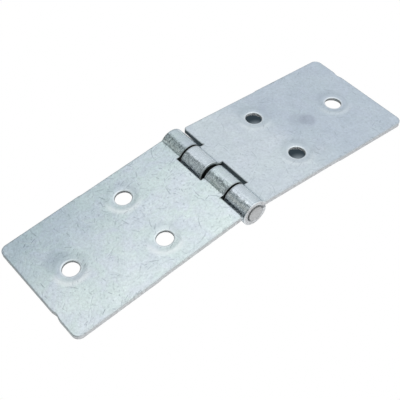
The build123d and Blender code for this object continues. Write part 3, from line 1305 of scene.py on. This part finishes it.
        # dirt and painted shade, then the painted shade in the gaps between knuckles
        return colour.mixed(soiled, Paint.SOIL).mixed(at.in_gap, Paint.GAP_SOIL)

    def _height(self, at: Sheet) -> Value:
        """Bump: the grain, less the scratches, and the streaks and pits of the knuckles.

        Args:
            at: what the leaf's mesh and textures give.

        Returns:
            The height, in millimetres.
        """
        rolled = (at.stretched(1.1, 0.07, 3.0, 0.6) * self.streak_height
                  + at.stretched(1.5, 0.8, 4.0, 0.65) * self.pit_height)
        rolled = rolled * at.on_curl * (at.on_flank * 2.0 + at.calm)
        return at.grain * self.grain_height * at.calm - at.scratched * self.scratch_height + rolled


FINISHES = {
    Side.LEFT: ZincFinish(
        name="zinc_left", light=(0.86, 0.915, 0.92), dark=(0.78, 0.84, 0.86), roughness=0.42,
        grain_height=0.060, scratch_height=0.020, scratch_share=0.65,
        # painted shade toward the leaf's outer end
        tarnish=(0.68, 0.73, 0.78), tarnish_across=(14.0, -20.0), tarnish_along=(10.0, 58.0, 0.45),
        # the first stain is partly a stain and partly painted shade of the far hole's dish
        stains=(Stain((50.6, -4.0, 0.0), 4.0, 0.22, (0.25, 0.33, 0.38)),
                Stain((31.0, -6.5, 0.0), 3.0, 0.10, (0.35, 0.42, 0.48))),
        # a band of painted shade and a band of painted highlight along the knuckles
        smears=(Smear(0.55, 0.80, 0.50, Paint.STREAK), Smear(2.0, 0.6, 0.45, Paint.SHINE)),
        polished=(0.3, -0.4), fleck_share=0.09, rolled_polish=0.14, rolled_shade=0.94, crease=2.9,
        # painted shade in the crease, on the holes' walls and on the outer knuckle's free rim
        crease_share=0.3, bored_share=0.5, end_soil=0.6),
    Side.RIGHT: ZincFinish(
        name="zinc_right", light=(0.772, 0.815, 0.85), dark=(0.712, 0.758, 0.80), roughness=0.40,
        grain_height=0.035, scratch_height=0.010, scratch_share=0.38,
        # painted shade toward the leaf's outer end
        tarnish=(0.855, 0.875, 0.915), tarnish_across=(60.0, 20.0), tarnish_along=(20.0, 32.0, 0.0),
        tarnish_lean=0.25,
        stains=(Stain((36.6, -1.1, 0.0), 3.0, 0.36, (0.33, 0.35, 0.44)),
                Stain((34.6, 0.6, 0.0), 3.4, 0.20, (0.35, 0.37, 0.46)),
                Stain((30.5, -12.5, 0.0), 3.4, 0.10, (0.36, 0.38, 0.43))),
        # a band of painted shade, and a painted highlight line on the outer knuckle
        smears=(Smear(-2.35, 0.40, 0.40, Paint.STREAK),
                Smear(-3.15, 0.6, 0.70, Paint.PALE, cover=(-19.0, -9.5))),
        # painted highlight and painted shade on the dishes' rims, and painted shade on the holes' walls
        rim_side=(-0.5, -0.87, 0.0), rim_shares=(0.28, 0.16), hue_share=0.35, fleck_share=0.06,
        rolled_polish=0.14, bored_share=0.4),
}


@dataclass(frozen=True)
class WireFinish:
    """Dull plated wire, whose dressed ends show the grey of the cut, with painted shade toward the top
    of each end and a near-black shank as painted shade in the gaps between knuckles.
    """

    name: str = "dull_wire"
    end: Colour = (0.45, 0.45, 0.455)
    # painted shade: a near-black shank, so that the gaps between the knuckles read dark
    shank: Colour = (0.015, 0.018, 0.017)
    # painted shade toward the top of each end
    dulled: Colour = (0.30, 0.29, 0.29)
    dulled_between: tuple[float, float] = (4.4, 6.6)   # heights on an end over which its painted shade rises, in millimetres

    def material(self) -> bpy.types.Material:
        """Build the material.

        Returns:
            The material.
        """
        made, nodes = new_material(self.name)
        place = nodes.own_place()
        is_end = nodes.read("end")
        grain = nodes.noise(place, 1.8, 4.0, 0.6, 0.4)
        colour = nodes.mix(is_end, self.shank, self.end).shaded(grain.spread(0.86, 1.1))
        height = nodes.add("SeparateXYZ", {0: place}, 2)
        # painted shade: each end darker toward its top
        colour = colour.mixed(height.remap(*self.dulled_between, 0.0, 0.5) * is_end, self.dulled)
        nodes.finish(colour, grain.spread(0.46, 0.6), 0.6, grain * 0.03)
        return made


@dataclass(frozen=True)
class TableFinish:
    """The pale table: matt grey as the metal sees it, and clear to the camera.

    The white surround shows as the table, and a leaf folded below it still shows. Only the shade
    under the raised leaf is drawn, and only from above. Places are in millimetres.
    """

    matt: Colour = (0.80, 0.80, 0.80)
    shade: Colour = (0.035, 0.05, 0.062)
    shade_along: tuple[float, float, float, float] = (-6.0, -3.0, 36.0, 42.0)
    shade_across: tuple[float, float, float, float] = (-13.0, -11.0, 20.2, 20.8)
    open_sky: tuple[float, float] = (0.7, 0.35)    # share of open sky where shade starts, is full
    lit: Colour = (0.30, 0.35, 0.39)
    lit_places: tuple[tuple[float, float], ...] = ((25.6, -9.2), (25.6, 9.6))   # through the holes
    lit_radius: float = 3.4

    def material(self, height: float) -> bpy.types.Material:
        """Build the material of a table at this height.

        Args:
            height: the table's own height.

        Returns:
            The material.
        """
        made, nodes = new_material("white_table")
        place = nodes.own_place()
        along, across, _ = nodes.many("SeparateXYZ", {0: place})
        sky = nodes.add("AmbientOcclusion", {"Distance": 0.03}, 1, samples=12, only_local=False)
        backfacing = nodes.add("NewGeometry", output=6)
        shaded = (along.band(*self.shade_along) * across.band(*self.shade_across)
                  * sky.rise(*self.open_sky) * (1.0 - backfacing))
        colour = self.shade
        for spot in self.lit_places:
            away = nodes.vector("DISTANCE", place, (*spot, height))
            colour = nodes.mix(away.rise(self.lit_radius, 0.0, 0.8), colour, self.lit)
        drawn = nodes.add("Emission", {"Color": colour, "Strength": 1.0})
        seen = nodes.add("MixShader", {0: shaded, 1: nodes.add("BsdfTransparent"), 2: drawn})
        matt = nodes.add("BsdfDiffuse", {"Color": self.matt})
        both = nodes.add("MixShader", {0: nodes.add("LightPath"), 1: matt, 2: seen})
        nodes.many("OutputMaterial", {"Surface": both})
        return made


@dataclass(frozen=True)
class SoftBox:
    """A soft box far off in the surround, even to its inner angle and gone at its outer one."""

    toward: tuple[float, float, float]
    inner: float
    outer: float
    glow: Colour

    def add_to(self, light: Value, looking: Value) -> Value:
        """Add this box to the light seen in a direction.

        The share of its glow rises in a soft step of the cosine between the two angles.

        Args:
            light: the light so far.
            looking: the direction.

        Returns:
            The light with this box.
        """
        nodes, length = light.nodes, math.sqrt(sum(v * v for v in self.toward))
        lean = nodes.vector("DOT_PRODUCT", looking, tuple(v / length for v in self.toward))
        share = lean.rise(*(math.cos(math.radians(angle)) for angle in (self.outer, self.inner)))
        glow = nodes.add("VectorMath", {0: self.glow, "Scale": share}, operation="SCALE")
        return nodes.vector("ADD", light, glow)


@dataclass(frozen=True)
class FrontLamp:
    """The lamp beside the camera that lights the table and the edges. Lengths are in metres."""

    toward: tuple[float, float, float] = (-0.15, -0.80, 0.55)
    distance: float = 1.2
    width: float = 0.8
    power: float = 12.0

    def build(self) -> None:
        """Make the lamp, turned to the middle of the scene."""
        data = bpy.data.lights.new("front_lamp", "AREA")
        data.shape, data.size, data.energy = "DISK", self.width, self.power
        lamp = bpy.data.objects.new("front_lamp", data)
        lamp.location = self.distance * np.array(self.toward) / np.linalg.norm(self.toward)
        lamp.rotation_mode = "QUATERNION"
        lamp.rotation_quaternion = lamp.location.to_track_quat("Z", "Y")
        lamp.visible_camera = lamp.visible_glossy = False
        bpy.context.scene.collection.objects.link(lamp)


@dataclass
class Studio:
    """Pale floor, soft light and the camera. Lengths are in millimetres, angles in degrees."""

    camera_place: tuple[float, float, float] = (-109.476, -134.182, 193.836)
    azimuth: float = -38.031
    elevation: float = 49.158
    roll: float = -1.941
    lens: float = 81.287
    floor_half: float = 1500.0
    floor_drop: float = 0.05
    surround: Colour = (0.10, 0.115, 0.115)
    boxes: tuple[SoftBox, ...] = (
        SoftBox((0.03, -0.10, 0.93), 34.0, 40.5, (0.60, 0.60, 0.59)),
        SoftBox((0.75, 0.32, 0.80), 15.0, 75.0, (0.61, 0.64, 0.67)),
        SoftBox((-0.80, 0.50, 0.25), 15.0, 60.0, (0.06, 0.07, 0.07)),
        SoftBox((-0.71, 0.47, 0.42), 4.0, 23.0, (0.385, 0.41, 0.415)),
        SoftBox((0.35, -0.78, 0.50), 15.0, 60.0, (0.50, 0.51, 0.51)),
    )

    def camera(self) -> None:
        """Make the camera from its place, its azimuth and elevation, and its roll."""
        az, el, roll = (math.radians(v) for v in (self.azimuth, self.elevation, self.roll))
        back = np.array([math.sin(az) * math.cos(el), -math.cos(az) * math.cos(el), math.sin(el)])
        level = np.array([math.cos(az), math.sin(az), 0.0])
        up = np.cross(back, level)
        axes = np.eye(4)
        axes[:3, 0] = math.cos(roll) * level + math.sin(roll) * up
        axes[:3, 1] = math.cos(roll) * up - math.sin(roll) * level
        axes[:3, 2] = back
        axes[:3, 3] = np.array(self.camera_place) * MM
        data = bpy.data.cameras.new("camera")
        data.lens, data.sensor_width = self.lens, 36.0
        data.clip_start, data.clip_end = 0.01, 10.0
        made = bpy.data.objects.new("camera", data)
        made.matrix_world = Matrix(axes.tolist())
        bpy.context.scene.collection.objects.link(made)
        bpy.context.scene.camera = made

    def floor(self) -> None:
        """Make the floor, one wide square just below the hinge."""
        half = self.floor_half
        corners = np.array([[-half, -half], [half, -half], [half, half], [-half, half]])
        points = np.column_stack([corners, np.full(4, -self.floor_drop)])
        piece = Surface(points, np.array([[0, 1, 2, 3]])).to_object("floor")
        piece.data.materials.append(TableFinish().material(-self.floor_drop))

    def world(self) -> None:
        """Set the surround: white to the camera, and to the metal dark with soft boxes in it."""
        made = bpy.data.worlds.new("surround")
        made.use_nodes = True
        nodes = Nodes(made.node_tree)
        looking = nodes.add("TexCoord")
        light = nodes.vector("ADD", self.surround, (0.0, 0.0, 0.0))
        for box in self.boxes:
            light = box.add_to(light, looking)
        colour = light.mixed(nodes.add("LightPath"), (1.0, 1.0, 1.0))
        background = nodes.add("Background", {"Color": colour, "Strength": 1.0})
        nodes.many("OutputWorld", {"Surface": background})
        bpy.context.scene.world = made

    def build(self) -> None:
        """Make everything round the hinge."""
        self.camera()
        self.floor()
        self.world()
        FrontLamp().build()
        bpy.context.scene.view_settings.view_transform = "Standard"


def main() -> None:
    """Build the hinge's surfaces on the frame, dress them, and set up the studio."""
    logging.basicConfig(level=logging.INFO, format="%(message)s")
    pin_low, pin_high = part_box("hinge_pin")
    leaf_low, leaf_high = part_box("right_leaf")
    pin_radius = (pin_high.z - pin_low.z) / 2 / MM
    axis_height = (pin_high.z + pin_low.z) / 2 / MM
    section = RolledSection(pin_radius=pin_radius)
    blank = Blank(section, half_width=(leaf_high.y - leaf_low.y) / 2 / MM - Blank.edge_step)
    scratches, mottle = stray_scratches(), plating_mottle()
    dressed = [(RolledLeaf(side, blank, EdgeProfile(), axis_height).build(),
                FINISHES[side].material(scratches, mottle)) for side in Side]
    pin = WirePin(pin_radius, (pin_high.y - pin_low.y) / 2 / MM, axis_height)
    dressed.append((pin.build(), WireFinish().material()))
    for piece, finish in dressed:
        piece.data.materials.append(finish)
        log.info("%s: %d faces", piece.name, len(piece.data.polygons))
    Studio().build()


if __name__ == "__main__":
    main()
